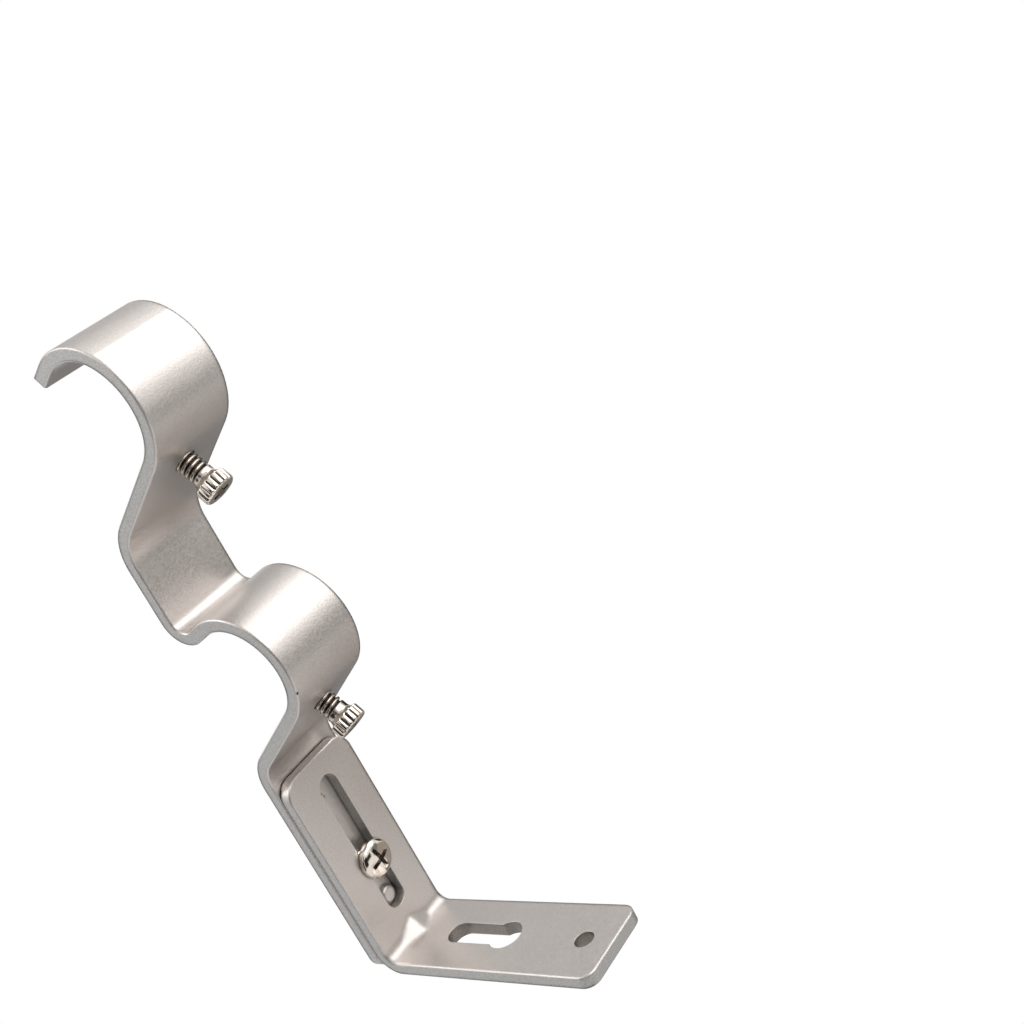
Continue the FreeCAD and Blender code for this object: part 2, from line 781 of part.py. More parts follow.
def clamp_screw():
    """Pan head screw, its bearing face at the arm's underside."""
    body = new_body("clamp_screw")
    head = "Sizes.clamp_head_radius"
    height = "Sizes.clamp_head_height"
    rim = "Sizes.clamp_head_rim"
    shank = "Sizes.clamp_shank_radius"
    end = "2 * Sizes.strip_thickness - Sizes.clamp_end_recess"
    dome = f"({height} - {rim})"
    dome_radius = f"({head}^2 + {dome}^2) / (2 * {dome})"
    points = [
        ("0", f"-{height}"),
        (head, f"-{rim}"),
        (head, "0"),
        (shank, "0"),
        (shank, end),
        ("0", end),
    ]
    arcs = {0: ("0", f"-{height} + {dome_radius}")}
    revolve(body, turned_section(body, "ScrewSection", points, arcs), "Turned")
    cross_recess(body, "clamp", f"-{height}", True)
    body.setExpression("Placement.Base.y", "-Sizes.clamp_reach")
    body.setExpression("Placement.Base.z", "Sizes.arm_height")
    return body


def thumb_screw(name):
    """Thumb screw, modelled with its head's inner face at z = 0 and its shank below."""
    body = new_body(name + "_thumb_screw")
    shank = "Sizes.thumb_shank_radius"
    tip = "-Sizes.thumb_shank_length"
    chamfer = "Sizes.thumb_tip_chamfer"
    head = "Sizes.thumb_head_radius"
    length = "Sizes.thumb_head_length"
    inner = "Sizes.thumb_inner_chamfer"
    outer = "Sizes.thumb_end_chamfer"
    dome = "Sizes.thumb_dome_height"
    shoulder = f"({head} - {outer})"
    dome_radius = f"({shoulder}^2 + {dome}^2) / (2 * {dome})"
    points = [
        ("0", tip),
        (f"{shank} - {chamfer}", tip),
        (shank, f"{tip} + {chamfer}"),
        (shank, "-Sizes.thumb_neck_length"),
        ("Sizes.thumb_neck_radius", "0"),
        (f"{head} - {inner}", "0"),
        (head, inner),
        (head, f"{length} - {outer}"),
        (shoulder, length),
        ("0", f"{length} + {dome}"),
    ]
    arcs = {8: ("0", f"{length} + {dome} - {dome_radius}")}
    revolve(body, turned_section(body, "ScrewSection", points, arcs), "Turned")
    knurl_head(body)
    cross_recess(body, "thumb", f"{length} + {dome}", False)
    out = f"Sizes.strip_thickness + Sizes.{name}_screw_standoff"
    y, z = screw_place(name, out)
    turn = f"180 + Sizes.{name}_slope"
    body.Placement = Placement(Vector(0, 0, 0), Rotation(Vector(1, 0, 0), value(turn)))
    body.setExpression("Placement.Base.y", y)
    body.setExpression("Placement.Base.z", z)
    body.setExpression("Placement.Rotation.Angle", turn)
    return body


def knurl_head(body):
    """Straight V grooves round the head, cut along it."""
    groove = new_sketch(body, "KnurlGroove", "XY_Plane")
    floor = size("thumb_head_radius") - size("knurl_depth")
    outside = floor + 2 * size("knurl_depth")
    half_width = size("knurl_width")
    corners = [Vector(floor, 0, 0), Vector(outside, -half_width, 0), Vector(outside, half_width, 0)]
    sides = add_polygon(groove, corners)
    constrain(groove, ("Vertical", sides[1]), ("Equal", sides[0], sides[2]))
    reach = "Sizes.thumb_head_radius - Sizes.knurl_depth"
    pin(groove, "floor", sides[0], 1, reach, "0")
    dimension(groove, "rise", "DistanceX", sides[0], 1, sides[0], 2, "2 * Sizes.knurl_depth")
    dimension(groove, "width", "Distance", sides[1], "2 * Sizes.knurl_width")
    first = cut(body, groove, "KnurlGrooveCut")
    repeat_round(body, first, groove, "Knurl", "Sizes.knurl_count", 360)


# The finished pieces


def check(parts):
    for item in doc.Objects:
        for problem in ("Invalid", "Error"):
            if problem in item.State:
                raise RuntimeError(f"{item.Name} is {problem}")
    for body in parts:
        shape = body.Shape
        if shape.isNull() or not shape.isValid() or len(shape.Solids) != 1:
            raise RuntimeError(f"{body.Label} is not one valid solid")


parts = [
    wall_bracket(),
    rod_holder(),
    clamp_screw(),
    thumb_screw("rear"),
    thumb_screw("front"),
]
doc.recompute()
check(parts)

os.makedirs("parts", exist_ok=True)
for body in parts:
    body.Shape.exportStep(f"parts/{body.Label}.step")
    box = body.Shape.BoundBox
    print(
        f"{body.Label}: {body.Shape.Volume:.1f} mm3,"
        f" x {box.XMin:.2f} to {box.XMax:.2f},"
        f" y {box.YMin:.2f} to {box.YMax:.2f},"
        f" z {box.ZMin:.2f} to {box.ZMax:.2f}"
    )
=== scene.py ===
# %% [markdown]
# # A bracket for two curtain poles
# The bracket is two folded strips of steel and three nickel plated screws. One strip screws to
# the wall. The other slides out along it, is held by a pan head screw from below, and is folded
# into two cradles, each with a thumb screw that grips its pole.
#
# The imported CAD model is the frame: it is right in size and in the strips' folded shape, so the
# strips stay and get a new finish. The screws are plain pegs there and are modelled again here.

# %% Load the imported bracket
import bmesh
import bpy
import math
from mathutils import Matrix, Vector


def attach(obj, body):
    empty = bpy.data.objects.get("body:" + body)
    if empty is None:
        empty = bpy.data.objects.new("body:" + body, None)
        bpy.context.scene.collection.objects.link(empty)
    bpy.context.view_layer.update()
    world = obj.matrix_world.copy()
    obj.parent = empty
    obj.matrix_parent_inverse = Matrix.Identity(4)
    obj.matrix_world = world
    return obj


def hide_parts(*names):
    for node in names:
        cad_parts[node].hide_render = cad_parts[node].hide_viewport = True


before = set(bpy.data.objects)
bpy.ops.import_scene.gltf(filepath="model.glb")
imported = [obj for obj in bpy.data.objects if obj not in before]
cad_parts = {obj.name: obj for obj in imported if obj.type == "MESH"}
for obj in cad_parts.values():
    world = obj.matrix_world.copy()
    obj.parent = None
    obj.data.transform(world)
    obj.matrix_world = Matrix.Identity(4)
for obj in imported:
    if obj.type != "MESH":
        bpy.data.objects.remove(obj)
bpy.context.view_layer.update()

# %% [markdown]
# ## The camera
# The bracket is seen with a normal lens from about 30 cm away, from below and, as one faces the
# wall, from the left. Position and axes come from matching the strips' outlines. Setting the
# three axes of the camera straight into its matrix is surer than aiming it with angles.

# %% Camera
MM = 0.001


def millimetres(*numbers):
    return Vector(numbers) * MM


camera_data = bpy.data.cameras.new("camera")
camera_data.sensor_width = 36
camera_data.lens = 52.386
camera_data.clip_start = 0.01
camera = bpy.data.objects.new("camera", camera_data)
bpy.context.scene.collection.objects.link(camera)
camera_right = Vector((0.511294, 0.439019, -0.73881))
camera_up = Vector((0.514258, -0.845071, -0.146269))
camera_back = Vector((-0.688562, -0.305152, -0.657849))
camera_place = millimetres(-162.55, -166.27, -190.72)
turn = Matrix((camera_right, camera_up, camera_back)).transposed().to_4x4()
camera.matrix_world = Matrix.Translation(camera_place) @ turn
bpy.context.scene.camera = camera
print("camera", round(camera_place.length, 3), "m from the fixing hole")

# %% [markdown]
# ## Light, floor and background
# Satin metal shows the room more than its own colour, so the room is what gives it its look. A
# white world is the light tent, and three soft lamps draw the white bands along the cradles, the
# bright gusset and the lit sheared edges. Grey boards stand where each darker face looks: behind
# the bracket for the slopes, low down for the flats, and dark ones for the line in the slot and
# the black marks in the screws' heads. The boards only show in reflections, as a studio's flags
# do. The floor is far enough below to be out of the main view.


# %% Helpers for materials
def linear(code):
    """A colour written as sRGB hex, as the linear numbers that Blender works with."""
    channels = [int(code[at:at + 2], 16) / 255 for at in (1, 3, 5)]
    return [c / 12.92 if c <= 0.04045 else ((c + 0.055) / 1.055) ** 2.4 for c in channels] + [1.0]


def add_node(material, kind, settings=None, links=None):
    """One node: settings are for its sockets or its own options, links come from other nodes."""
    node = material.node_tree.nodes.new("ShaderNode" + kind)
    for name, value in (settings or {}).items():
        if hasattr(node, str(name)):
            setattr(node, name, value)
    for name, value in (settings or {}).items():
        if not hasattr(node, str(name)):
            node.inputs[name].default_value = value
    for name, source in (links or {}).items():
        material.node_tree.links.new(source, node.inputs[name])
    return node


def new_material(name):
    material = bpy.data.materials.new(name)
    material.use_nodes = True
    material.node_tree.nodes.clear()
    return material


def finish_material(material, shader):
    add_node(material, "OutputMaterial", links={"Surface": shader.outputs["BSDF"]})
    return material


# %% World and floor
scene = bpy.context.scene
scene.view_settings.view_transform = "Standard"
world = bpy.data.worlds.new("light_tent")
world.use_nodes = True
world.node_tree.nodes["Background"].inputs["Color"].default_value = (1, 1, 1, 1)
world.node_tree.nodes["Background"].inputs["Strength"].default_value = 1.0
scene.world = world


def stage_sheet(name, length, width, place, facing, along, colour, roughness):
    """A flat sheet that isn't part of the bracket. Its length lies along the given direction."""
    across = facing.cross(along).normalized()
    turn = Matrix((across.cross(facing), across, facing)).transposed().to_4x4()
    mesh = bpy.data.meshes.new(name)
    bm = bmesh.new()
    bmesh.ops.create_grid(bm, x_segments=1, y_segments=1, size=0.5)
    bm.transform(Matrix.Translation(place) @ turn @ Matrix.Diagonal((length, width, 1, 1)))
    bm.to_mesh(mesh)
    bm.free()
    sheet = bpy.data.objects.new(name, mesh)
    scene.collection.objects.link(sheet)
    paint = new_material(name + "_paint")
    mesh.materials.append(finish_material(paint, add_node(paint, "BsdfPrincipled", {
        "Base Color": linear(colour), "Roughness": roughness})))
    return sheet


stage_sheet("floor", length=12.0, width=12.0, place=millimetres(0, 0, -450),
            facing=Vector((0, 0, 1)), along=Vector((1, 0, 0)), colour="#F3F1EE", roughness=0.8)
print("floor 450 mm below the fixing hole")

# %% [markdown]
# ## Lamps and boards
# Each is given by its size, the direction in which it stands as seen from the bracket's middle,
# and its distance in metres. All of them face the bracket.

# %% Lamps and boards
bracket_middle = millimetres(0, -73, 28)


def flag(name, length, width, direction, distance, tone, along=(1, 0, 0)):
    """A grey board that only shows in the metal."""
    away = Vector(direction).normalized()
    board = stage_sheet(name, length, width, bracket_middle + away * distance, -away,
                        Vector(along), "#000000", 1.0)
    paint = board.data.materials[0].node_tree.nodes["Principled BSDF"]
    paint.inputs["Emission Color"].default_value = linear(tone)
    paint.inputs["Emission Strength"].default_value = 1.0
    board.visible_camera = False
    board.visible_diffuse = False
    board.visible_shadow = False


def soft_lamp(name, width, height, direction, distance, brightness):
    """A softbox. Brightness is what a mirror would show of it."""
    away = Vector(direction).normalized()
    lamp = bpy.data.lights.new(name, "AREA")
    lamp.shape = "RECTANGLE"
    lamp.size = width
    lamp.size_y = height
    lamp.energy = brightness * math.pi * width * height
    box = bpy.data.objects.new(name, lamp)
    box.matrix_world = (Matrix.Translation(bracket_middle + away * distance)
                        @ away.to_track_quat("Z", "Y").to_matrix().to_4x4())
    box.visible_camera = False
    scene.collection.objects.link(box)


soft_lamp("key_softbox", 0.20, 0.26, (0.57, -0.69, -0.44), 0.27, 1.85)
soft_lamp("overhead_softbox", 0.28, 0.16, (-0.02, -0.65, -0.76), 0.40, 3.6)
soft_lamp("left_softbox", 0.24, 0.24, (-0.53, -0.56, 0.60), 0.40, 2.6)
flag("back_flag", 0.70, 0.70, (0.55, 0.76, 0.26), 0.5, "#787878")
flag("low_flag", 0.12, 0.09, (0.60, 0.16, -0.78), 0.18, "#747474")
flag("arm_flag", 0.07, 0.12, (0.714, 0.66, -0.24), 0.112, "#9F978F")
flag("edge_flag", 0.44, 0.22, (0.95, 0.0, 0.20), 0.42, "#101010", (0, 0.4, 0.9))
flag("left_flag", 0.40, 0.40, (-0.95, 0.10, 0.08), 0.42, "#2A2624", (0, 0, 1))
flag("wall_flag", 0.30, 0.30, (0.54, -0.53, 0.66), 0.42, "#BABABA")
flag("shade_flag", 0.17, 0.17, (-0.80, -0.50, -0.34), 0.40, "#16120F", (0, 0, 1))
flag("slit_flag", 0.34, 0.13, (-0.22, 0.0, -0.98), 0.40, "#0C0C0C")
flag("camera_flag", 0.28, 0.28, (-0.62, 0.04, -0.78), 0.36, "#0C0C0C", (0, 0, 1))
print("lit by", [lamp.name for lamp in bpy.data.lights])

# %% [markdown]
# ## Satin silver on steel strip
# The strips are mild steel with a satin silver finish: nickel over a fine blasted ground. The
# blasting leaves fine pits, which break up each highlight's edge into sparkling grain. Where the
# strip was sheared the ground is rougher and greyer, with flecks of burr. One material does both,
# from the direction each surface faces. The strip's edges were tumbled, so the material turns
# the light softly round them, and more so on the gusset, which is pressed.
#
# Small helpers keep the material short. A ramp turns a measure into a share from 0 to 1, and a
# tint multiplies a tone by a colour as far as such a share says.


# %% Helpers for measures and tones
def calculate(m, operation, *values):
    """The result of a Math node. Each value is a number or another node's output."""
    numbers = {at: value for at, value in enumerate(values) if isinstance(value, float)}
    outputs = {at: value for at, value in enumerate(values) if at not in numbers}
    return add_node(m, "Math", {"operation": operation, **numbers}, outputs).outputs[0]


def ramp(m, value, start, end, at_start=0.0, at_end=1.0):
    """Goes from at_start to at_end while the value goes from start to end, and then stays."""
    return add_node(m, "MapRange", {"From Min": start, "From Max": end, "To Min": at_start,
                                    "To Max": at_end}, {"Value": value}).outputs[0]


def tint(m, tone, colour, share):
    """The tone multiplied by a colour, as far as the share says."""
    return add_node(m, "Mix", {"data_type": "RGBA", "blend_type": "MULTIPLY", 7: linear(colour)},
                    {0: share, 6: tone}).outputs[2]


def noise(m, position, size, detail, roughness=0.5):
    """Noise whose grain is about as big as the size."""
    return add_node(m, "TexNoise", {"Scale": 1 / size, "Detail": detail, "Roughness": roughness},
                    {"Vector": position}).outputs[0]


def distance_to(m, position, centre, counted=(1, 1, 1)):
    """How far a point is from a centre in millimetres, along the axes that are counted."""
    part = add_node(m, "VectorMath", {"operation": "MULTIPLY", 1: counted}, {0: position})
    return add_node(m, "VectorMath", {"operation": "DISTANCE", 1: millimetres(*centre)},
                    {0: part.outputs[0]}).outputs["Value"]


# %% [markdown]
# ## Where the strips differ
# The punched slot kept its sharp edges, the gusset's press marks and the nub are much rounder.
# The wall plate's end and the walls of its two holes were sheared like the strips' sides, and
# the hole walls are tinted darker as painted shade.


# %% Edges, cut faces and marks
def edge_radius(m, point, position):
    """How soft an edge looks: 0.45 mm, but 1.85 mm on the gusset and 0.9 mm on the nub."""
    radius = 0.45 * MM
    gusset = (0, -4.0, 45.0), (0, 1, 1), 4.8, 1.4
    nub = (0, -13, 48), (1, 1, 1), 2.7, 0.45
    for centre, counted, reach, extra in (gusset, nub):
        away = distance_to(m, position, centre, counted)
        radius = calculate(m, "ADD", radius,
                           ramp(m, away, 0.8 * reach * MM, reach * MM, extra * MM, 0.0))
    # The arm's slot was punched, and its edges stayed sharp
    beside_slot = ramp(m, calculate(m, "ABSOLUTE", point["X"]), 2.9 * MM, 3.3 * MM)
    near_wall = ramp(m, point["Y"], -17 * MM, -16 * MM)
    off_slot = calculate(m, "MAXIMUM", beside_slot, near_wall)
    return calculate(m, "MULTIPLY", radius, ramp(m, off_slot, 0.0, 1.0, 0.15, 1.0))


def cut_faces(m, facing, point):
    """Where the strips were sheared, and where that is the wall of a hole in the wall plate."""
    side = ramp(m, calculate(m, "ABSOLUTE", facing["X"]), 0.86, 0.99)
    # The wall plate's cut faces look along the plate, below the bend
    along_plate = ramp(m, calculate(m, "ABSOLUTE", facing["Y"]), 0.3, 0.5, 1.0, 0.0)
    below_bend = ramp(m, point["Z"], 36.8 * MM, 37.2 * MM, 1.0, 0.0)
    in_plate = ramp(m, point["Y"], -3.2 * MM, -3.0 * MM)
    plate_part = calculate(m, "MULTIPLY", below_bend, in_plate)
    plate_cut = calculate(m, "MULTIPLY", plate_part, along_plate)
    sheared = calculate(m, "MAXIMUM", side, plate_cut)
    # Both holes are in the middle of the plate, away from its end
    above_end = ramp(m, point["Z"], -4 * MM, -3 * MM)
    near_middle = ramp(m, calculate(m, "ABSOLUTE", point["X"]), 5 * MM, 6 * MM, 1.0, 0.0)
    hole_part = calculate(m, "MULTIPLY", above_end, near_middle)
    return sheared, calculate(m, "MULTIPLY", hole_part, plate_cut)


def marks(m, position, tone):
    """Darken three small marks: a chip in the rear cradle's near edge, and two small patches at
    the slot's left edge.
    """
    rear_cradle_chip = (-9.7, -70.8, 25.6), 0.42, "#3A3230"
    dark_patch_beside_slot = (-2.6, -41.9, 46.4), 0.42, "#B2AAAA"
    dark_patch_in_slot = (-0.6, -39.6, 49.3), 0.50, "#B6AFAD"
    for centre, reach, dark in (rear_cradle_chip, dark_patch_beside_slot, dark_patch_in_slot):
        away = distance_to(m, position, centre)
        tone = tint(m, tone, dark, ramp(m, away, 0.5 * reach * MM, reach * MM, 1.0, 0.0))
    return tone


# %% [markdown]
# ## Tone of the strips
# The faces are slightly warm and cloudy, the sheared parts grey with flecks of burr. Along the
# strip's two sides, where the rounded edge turns away from the eye, a dark line of painted shade
# stands for the dark gap between strip and background. The last millimetre of each gap between
# the pieces is tinted darker and browner: painted shade.


# %% Tone of the strips
def satin_tone(m, position, grain, sheared, hole_wall_shade):
    """The plating's colour, greyer where the strip was sheared."""
    cloud = noise(m, position, 12 * MM, 3.0)
    warm = add_node(m, "Mix", {"data_type": "RGBA", 6: linear("#CDC7C3"), 7: linear("#C1BBB7")},
                    {0: cloud})
    face_tone = add_node(m, "Mix", {"data_type": "RGBA", "blend_type": "MULTIPLY", 0: 1.0},
                         {6: warm.outputs[2], 7: ramp(m, grain, 0.35, 0.65, 0.96, 1.04)})
    # Burr of the shearing: bright and dark flecks of about 0.3 mm
    burr = noise(m, position, 0.3 * MM, 3.0)
    sheared_tone = add_node(m, "Mix", {"data_type": "RGBA", "blend_type": "MULTIPLY", 0: 1.0,
                                       6: linear("#A9A8A6")},
                            {7: ramp(m, burr, 0.35, 0.65, 0.84, 1.14)})
    tone = add_node(m, "Mix", {"data_type": "RGBA"},
                    {0: sheared, 6: face_tone.outputs[2], 7: sheared_tone.outputs[2]})
    # Painted shade: the walls of the wall plate's two holes are tinted darker
    return tint(m, tone.outputs[2], "#C9C1BC", hole_wall_shade)


def painted_edge_shade(m, point):
    """Painted shade: how far the rounded side edge turns away from the eye, in the strip's last
    millimetre.
    """
    side_edge = add_node(m, "Bevel", {"samples": 6, "Radius": 1.2 * MM})
    turned = add_node(m, "LayerWeight", {"Blend": 0.5}, {"Normal": side_edge.outputs[0]})
    straight = add_node(m, "LayerWeight", {"Blend": 0.5})
    away = calculate(m, "SUBTRACT", turned.outputs["Facing"], straight.outputs["Facing"])
    at_side = ramp(m, calculate(m, "ABSOLUTE", point["X"]), 8.5 * MM, 8.9 * MM)
    return calculate(m, "MULTIPLY", ramp(m, away, 0.10, 0.22), at_side)


def painted_gap_shade(m):
    """How close a point is to another surface, for painted shade in the gaps between the pieces.
    """
    gap = add_node(m, "AmbientOcclusion", {"samples": 8, "Distance": 1.0 * MM})
    return ramp(m, gap.outputs["AO"], 0.3, 0.8, 1.0, 0.0)


# %% Satin silver
def satin_silver():
    m = new_material("satin_nickel_on_blasted_steel")
    place = add_node(m, "TexCoord").outputs
    position = place["Object"]
    facing = add_node(m, "SeparateXYZ", links={0: place["Normal"]}).outputs
    point = add_node(m, "SeparateXYZ", links={0: position}).outputs
    sheared, hole_wall_shade = cut_faces(m, facing, point)
    # The true grain is about 0.1 mm across, and is drawn coarser so that it shows
    grain = noise(m, position, 0.45 * MM, 2.0, 0.6)
    tone = satin_tone(m, position, grain, sheared, hole_wall_shade)
    # Painted shade: a dark blue-grey line along the strip's two sides, where the edge turns from
    # the eye
    tone = tint(m, tone, "#303136", painted_edge_shade(m, point))
    # Painted shade: the last millimetre of each gap between the pieces is tinted brown-grey
    tone = tint(m, marks(m, position, tone), "#83766A", painted_gap_shade(m))
    rough = add_node(m, "Mix", {"data_type": "FLOAT", 3: 0.44},
                     {0: sheared, 2: ramp(m, grain, 0.3, 0.7, 0.30, 0.42)})
    # The tumbled edge, softer than the CAD's narrow chamfer
    soft_edge = add_node(m, "Bevel", {"samples": 6}, {"Radius": edge_radius(m, point, position)})
    bump = add_node(m, "Bump", {"Strength": 1.0, "Distance": 0.036 * MM},
                    {"Height": grain, "Normal": soft_edge.outputs[0]})
    shader = add_node(m, "BsdfPrincipled", {"Metallic": 0.8},
                      {"Base Color": tone, "Roughness": rough.outputs[0],
                       "Normal": bump.outputs[0]})
    return finish_material(m, shader)


strip_finish = satin_silver()
for name in ("wall_bracket", "rod_holder"):
    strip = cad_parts[name]
    strip.data.materials.clear()
    strip.data.materials.append(strip_finish)
    print(name, "keeps its CAD shape,", len(strip.data.polygons), "faces")

# %% [markdown]
# ## Bright nickel on the screws
# The screws are polished by tumbling before they are plated, so they mirror the room with hard
# edges between white and dark. Grime and painted shade make the thread's valleys brown, and
# painted shade makes the cross recesses brown and darkens the knurls' grooves and the thumb
# screws' necks. Each screw's mesh carries a number, depth, that says how dark a point is, mostly
# from how far down in a groove it is, and the material turns that into the brown.


# %% Bright nickel
def bright_nickel():
    m = new_material("bright_nickel_plate_on_steel")
    position = add_node(m, "TexCoord").outputs["Object"]
    depth = add_node(m, "Attribute", {"attribute_name": "depth"}).outputs["Fac"]
    # The number depth brings in the brown of grime and painted shade
    tone = add_node(m, "Mix", {"data_type": "RGBA", 6: linear("#E6DED4"), 7: linear("#3E2C22")},
                    {0: depth})
    # Faint ripple of the tumbling, about 0.5 mm
    bump = add_node(m, "Bump", {"Strength": 0.15, "Distance": 0.02 * MM},
                    {"Height": noise(m, position, 0.5 * MM, 2.0)})
    shader = add_node(m, "BsdfPrincipled", {"Metallic": 1.0},
                      {"Base Color": tone.outputs[2],
                       "Roughness": ramp(m, depth, 0.0, 1.0, 0.13, 0.32),
                       "Normal": bump.outputs[0]})
    return finish_material(m, shader)


screw_finish = bright_nickel()
print(screw_finish.name, "has", len(screw_finish.node_tree.nodes), "nodes")

# %% [markdown]
# ## Screw threads
# A thread is rolled between dies: it has rounded crests and a flat root, and runs out where the
# shank gets thicker. A spin that rises by one pitch in a full turn makes it from one profile
# line: the end of each turn meets the start of the next, and merging the doubles closes it.
# The screws are drawn in millimetres and scaled when they are placed.


# %% Thread
THREAD_STEPS = 40
# One pitch of the thread's profile: part of the pitch along, part of the depth down
THREAD_PROFILE = ((0.0, 1.0), (0.08, 0.95), (0.27, 0.12), (0.34, 0.02), (0.5, 0.0), (0.66, 0.02),
                  (0.73, 0.12), (0.92, 0.95))


def thread(bm, crest, depth, pitch, bottom, top):
    """A threaded rod along Z, open at the top and closed at the bottom."""
    turns = math.ceil((top - bottom) / pitch) + 2
    chain = []
    for turn_number in range(turns):
        for along, down in THREAD_PROFILE:
            height = bottom + (turn_number - 1 + along) * pitch
            chain.append(bm.verts.new((crest - down * depth, 0, height)))
    edges = [bm.edges.new(pair) for pair in zip(chain, chain[1:])]
    bmesh.ops.spin(bm, geom=chain + edges, cent=(0, 0, 0), axis=(0, 0, 1), angle=math.tau,
                   dvec=(0, 0, pitch / THREAD_STEPS), steps=THREAD_STEPS, use_merge=False)
    bmesh.ops.remove_doubles(bm, verts=bm.verts, dist=pitch / 100)
    for vert in bm.verts:
        radius = math.hypot(vert.co.x, vert.co.y)
        # The tip is chamfered, and the grooves run out over the last pitch
        blunt = crest - depth + max(0.0, vert.co.z - bottom)
        rise = min(1.0, max(0.0, 1 + (vert.co.z - top) / pitch))
        wanted = min(radius, blunt) * (1 - rise) + crest * rise
        vert.co.x *= wanted / radius
        vert.co.y *= wanted / radius
    for height, side in ((bottom, -1), (top, 1)):
        bmesh.ops.bisect_plane(bm, geom=bm.verts[:] + bm.edges[:] + bm.faces[:],
                               dist=pitch / 1000, plane_co=(0, 0, height),
                               plane_no=(0, 0, side), clear_outer=True)
    end = [e for e in bm.edges if e.is_boundary and e.verts[0].co.z < bottom + pitch / 100]
    bmesh.ops.edgeloop_fill(bm, edges=end)
    return [e for e in bm.edges if e.is_boundary]


# %% [markdown]
# ## From the thread to the head
# A head is turned or pressed onto the end of the rod. Its rings are drawn one after another by
# extruding the last ring and giving it the next radius and height. The rings of a knurled head
# need more points than the thread has, so the first ring is its own circle and a bridge joins it
# to the thread.


# %% Rings
def ring_verts(edges):
    return list({vert for edge in edges for vert in edge.verts})


def grow(bm, edges, height, shape):
    """Extrude a ring of edges to a height. Shape gives each point's radius from its angle."""
    made = bmesh.ops.extrude_edge_only(bm, edges=edges)["geom"]
    edges = [item for item in made if isinstance(item, bmesh.types.BMEdge)]
    for vert in ring_verts(edges):
        angle = math.atan2(vert.co.y, vert.co.x)
        radius = shape(angle)
        vert.co = (radius * math.cos(angle), radius * math.sin(angle), height)
    return edges


def grow_round(bm, edges, outline):
    """Extrude a ring through an outline of heights and radii."""
    for height, radius in outline:
        edges = grow(bm, edges, height, lambda angle: radius)
    return edges


# %% [markdown]
# ## Cross recess
# A punch with four tapered wings is driven into the head. The same punch is made here from two
# tapered blocks and taken away from the head with a Boolean modifier, which cuts a domed face
# cleanly.


# %% Cross punch
def punch(name, width, length, depth, top, angle):
    """The cross punch, its wide end just outside the head."""
    bm = bmesh.new()
    for quarter in (0, 90):
        block = bmesh.ops.create_cube(bm, size=1.0)["verts"]
        for vert in block:
            deep = vert.co.z < 0
            vert.co.x *= length * (0.45 if deep else 1.12)
            vert.co.y *= width * (0.7 if deep else 1.04)
            vert.co.z = -depth if deep else 0.12 * depth
        bmesh.ops.rotate(bm, verts=block, cent=(0, 0, 0),
                         matrix=Matrix.Rotation(math.radians(angle + quarter), 3, "Z"))
    bmesh.ops.translate(bm, verts=bm.verts, vec=(0, 0, top))
    mesh = bpy.data.meshes.new(name)
    bm.to_mesh(mesh)
    bm.free()
    tool = bpy.data.objects.new(name, mesh)
    scene.collection.objects.link(tool)
    return tool


# %% Finish a screw
SHARP_ANGLE = math.radians(38)
# How far outside a face the point lies that tells which part of the screw the face is on
OUTSIDE = 0.01


def finish_screw(name, bm, tool, painted_shade_and_grime, place):
    """Cut the recess, note each point's painted shade and grime, move the mesh to its place and
    dress it.
    """
    bmesh.ops.recalc_face_normals(bm, faces=bm.faces)
    print(name, "open edges", sum(not edge.is_manifold for edge in bm.edges))
    mesh = bpy.data.meshes.new(name)
    bm.to_mesh(mesh)
    bm.free()
    piece = bpy.data.objects.new(name, mesh)
    scene.collection.objects.link(piece)
    cut = piece.modifiers.new("recess", "BOOLEAN")
    cut.operation = "DIFFERENCE"
    cut.solver = "EXACT"
    cut.use_self = True
    cut.object = tool
    evaluated = piece.evaluated_get(bpy.context.evaluated_depsgraph_get())
    shaped = bpy.data.meshes.new_from_object(evaluated)
    piece.modifiers.clear()
    piece.data = shaped
    bpy.data.objects.remove(tool)
    depth = shaped.attributes.new("depth", "FLOAT", "CORNER")
    for face in shaped.polygons:
        middle = face.center + face.normal * OUTSIDE
        for corner in face.loop_indices:
            point = shaped.vertices[shaped.loops[corner].vertex_index].co
            depth.data[corner].value = painted_shade_and_grime(point, middle)
    shaped.transform(place @ Matrix.Scale(MM, 4))
    shaped.shade_smooth()
    shaped.set_sharp_from_angle(angle=SHARP_ANGLE)
    shaped.materials.clear()
    shaped.materials.append(screw_finish)
    print(name, "has", len(shaped.polygons), "faces")
    return piece


# %% [markdown]
# ## Thumb screws
# The head is a knob to turn with two fingers: straight knurls round it, an almost flat end with a
# cross recess, and a smooth flared neck. The lands between the grooves are what catches the
# light, so they are left smooth, and the grooves between them are painted dark, as shade.

# %% Sizes of the thumb screws
THUMB_CREST, THUMB_DEPTH, THUMB_PITCH = 2.4, 0.55, 1.08
THUMB_TIP, THUMB_RUN_OUT = -8.0, -1.5
THUMB_NECK = ((-1.2, 2.4), (-0.9, 2.41), (-0.6, 2.49), (-0.3, 2.62), (0.0, 2.85))
KNURLS, KNURL_DEPTH = 16, 0.36
# How steep the grooves' flanks are: the depth is gone after 1 / 3.6 of a knurl's pitch
KNURL_FLANK = 3.6
KNOB_RADIUS, KNOB_END = 3.5, 2.96
# Each ring's height, its radius and how much of the knurls' depth it has
KNOB = ((0.12, 3.42, 0.5), (0.3, KNOB_RADIUS, 1.0), (2.3, KNOB_RADIUS, 1.0), (2.55, 3.45, 0.8),
        (2.72, 3.32, 0.35), (2.84, 3.1, 0.0), (2.9, 2.5, 0.0), (2.94, 1.7, 0.0),
        (KNOB_END, 0.6, 0.0))


